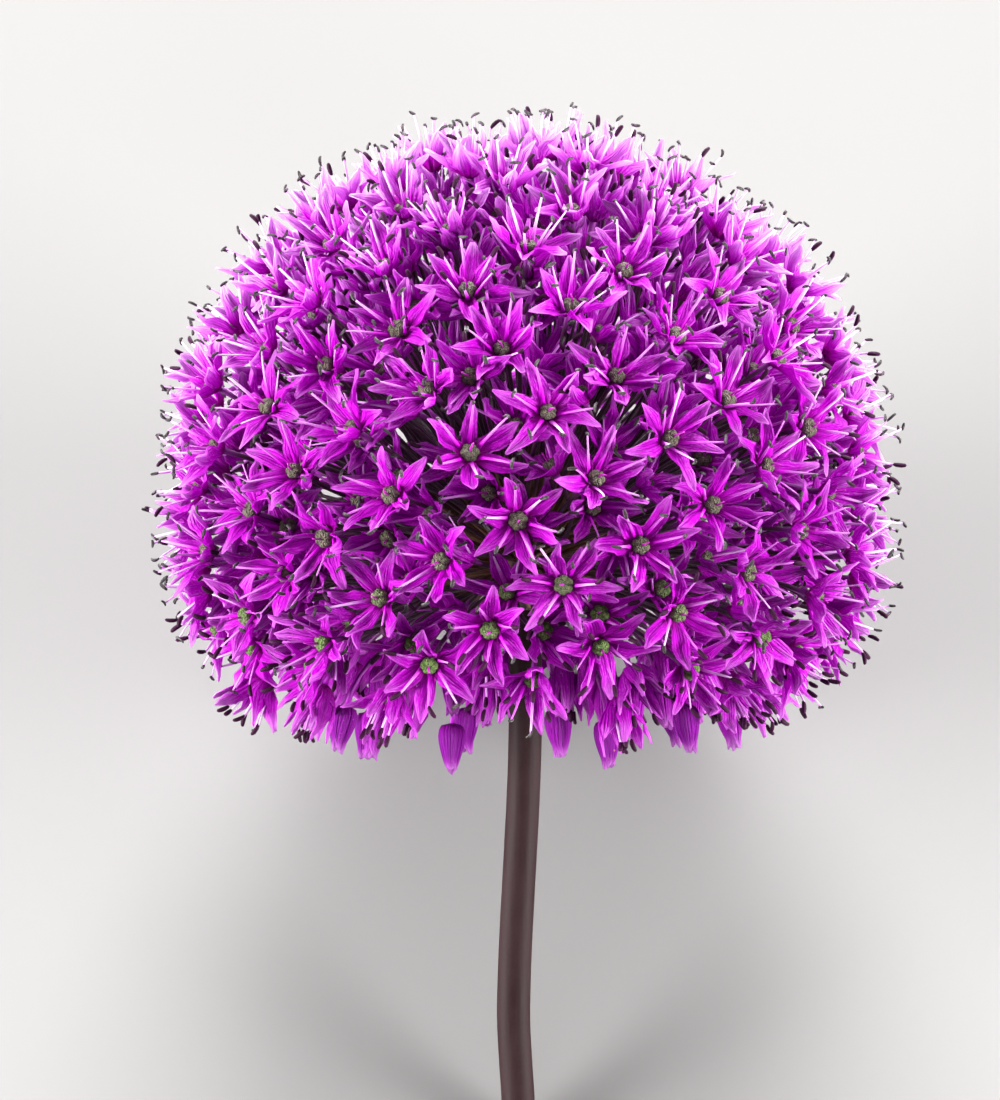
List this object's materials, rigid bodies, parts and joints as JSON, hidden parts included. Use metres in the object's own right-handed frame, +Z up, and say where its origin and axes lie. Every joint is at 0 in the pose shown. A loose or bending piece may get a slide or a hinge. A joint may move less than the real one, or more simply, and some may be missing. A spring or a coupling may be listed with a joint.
{
  "type": "allium flower head",
  "caption": "Round ornamental allium flower head on a short cut stem, lying on its side with its star-shaped florets spread into a ball.",
  "frame": {"origin": "on the surface it lies on, under the middle of its outline seen from above", "axes": "+Z up from the surface, +Y from the cut end of the stem towards the crown of the head, +X to the right of a viewer who looks along +Y"},
  "size_m": [0.115, 0.1384, 0.1122],
  "materials": {
    "florets": "soft, slightly translucent petals with a satin sheen",
    "stem": "smooth waxy plant skin",
    "tepals": "thin, translucent and veined, with a satin sheen",
    "filaments": "smooth and satin",
    "anthers": "matt and dusty",
    "ovaries": "grainy and matt",
    "stalks": "smooth plant skin"
  },
  "bodies": {
    "root": {"umbel": "florets", "scape": "stem"}
  },
  "joints": []
}
